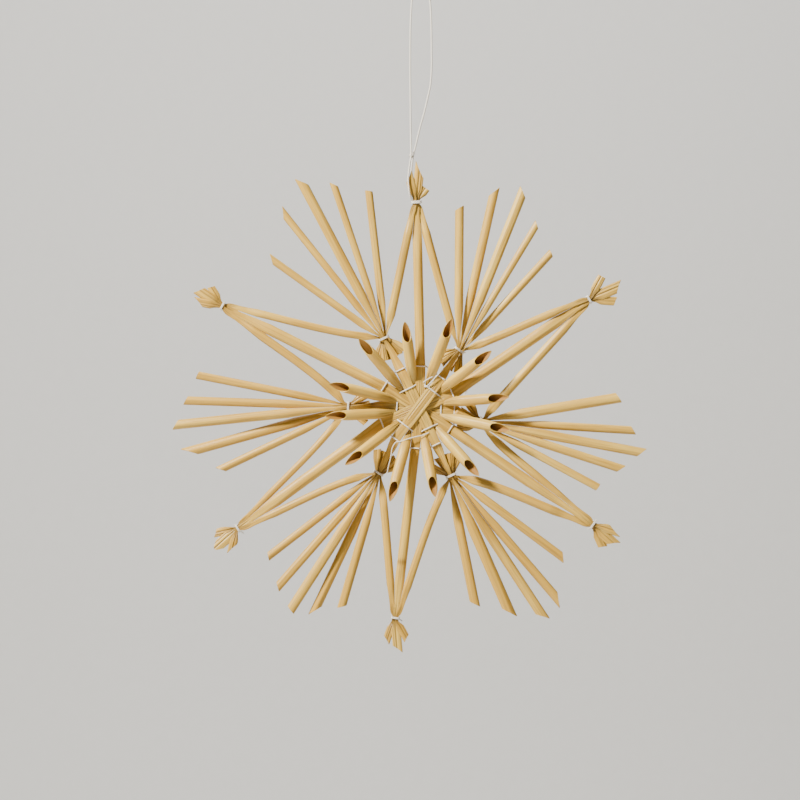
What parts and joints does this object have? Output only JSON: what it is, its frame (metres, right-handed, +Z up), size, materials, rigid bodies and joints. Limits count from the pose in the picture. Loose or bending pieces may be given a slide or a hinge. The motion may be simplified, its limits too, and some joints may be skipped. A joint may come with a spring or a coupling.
{
  "type": "hanging straw star ornament",
  "caption": "Flat hanging star tied from natural straw with white thread: points, fans of straws and open tube ends at its hub.",
  "frame": {"origin": "inner top of the hanging loop, where a hook or nail carries it", "axes": "+Z up, -Y out of the star's front, +X to the viewer's right"},
  "size_m": [0.2214, 0.0172, 0.3131],
  "materials": {
    "natural_straw": "dried golden straw, satin, with fine lengthwise fibres",
    "tube_straw": "pale dried straw, satin, hollow, cut slantwise",
    "white_thread": "matt twisted cotton thread"
  },
  "bodies": {
    "root": {"axis_straw_l_r": "natural_straw", "axis_straw_ul_lr": "natural_straw", "axis_straw_ur_ll": "natural_straw", "fan_straw_l_1": "natural_straw", "fan_straw_l_2": "natural_straw", "fan_straw_l_3": "natural_straw", "fan_straw_l_4": "natural_straw", "fan_straw_ll_1": "natural_straw", "fan_straw_ll_2": "natural_straw", "fan_straw_ll_3": "natural_straw", "fan_straw_ll_4": "natural_straw", "fan_straw_lr_1": "natural_straw", "fan_straw_lr_2": "natural_straw", "fan_straw_lr_3": "natural_straw", "fan_straw_lr_4": "natural_straw", "fan_straw_r_1": "natural_straw", "fan_straw_r_2": "natural_straw", "fan_straw_r_3": "natural_straw", "fan_straw_r_4": "natural_straw", "fan_straw_ul_1": "natural_straw", "fan_straw_ul_2": "natural_straw", "fan_straw_ul_3": "natural_straw", "fan_straw_ul_4": "natural_straw", "fan_straw_ur_1": "natural_straw", "fan_straw_ur_2": "natural_straw", "fan_straw_ur_3": "natural_straw", "fan_straw_ur_4": "natural_straw", "fan_tie_l": "white_thread", "fan_tie_ll": "white_thread", "fan_tie_lr": "white_thread", "fan_tie_r": "white_thread", "fan_tie_ul": "white_thread", "fan_tie_ur": "white_thread", "hanging_thread": "white_thread", "main_straw_n_s": "natural_straw", "main_straw_nw_se": "natural_straw", "main_straw_sw_ne": "natural_straw", "point_tie_ne": "white_thread", "point_tie_nw": "white_thread", "point_tie_s": "white_thread", "point_tie_se": "white_thread", "point_tie_sw": "white_thread", "side_straw_l_nw": "natural_straw", "side_straw_l_sw": "natural_straw", "side_straw_ll_s": "natural_straw", "side_straw_ll_sw": "natural_straw", "side_straw_lr_s": "natural_straw", "side_straw_lr_se": "natural_straw", "side_straw_r_ne": "natural_straw", "side_straw_r_se": "natural_straw", "side_straw_ul_n": "natural_straw", "side_straw_ul_nw": "natural_straw", "side_straw_ur_n": "natural_straw", "side_straw_ur_ne": "natural_straw", "tube_straw_e_w": "tube_straw", "tube_straw_ene_wsw": "tube_straw", "tube_straw_ese_wnw": "tube_straw", "tube_straw_nne_ssw": "tube_straw", "tube_straw_nnw_sse": "tube_straw", "tube_straw_se_nw": "tube_straw"}
  },
  "joints": []
}
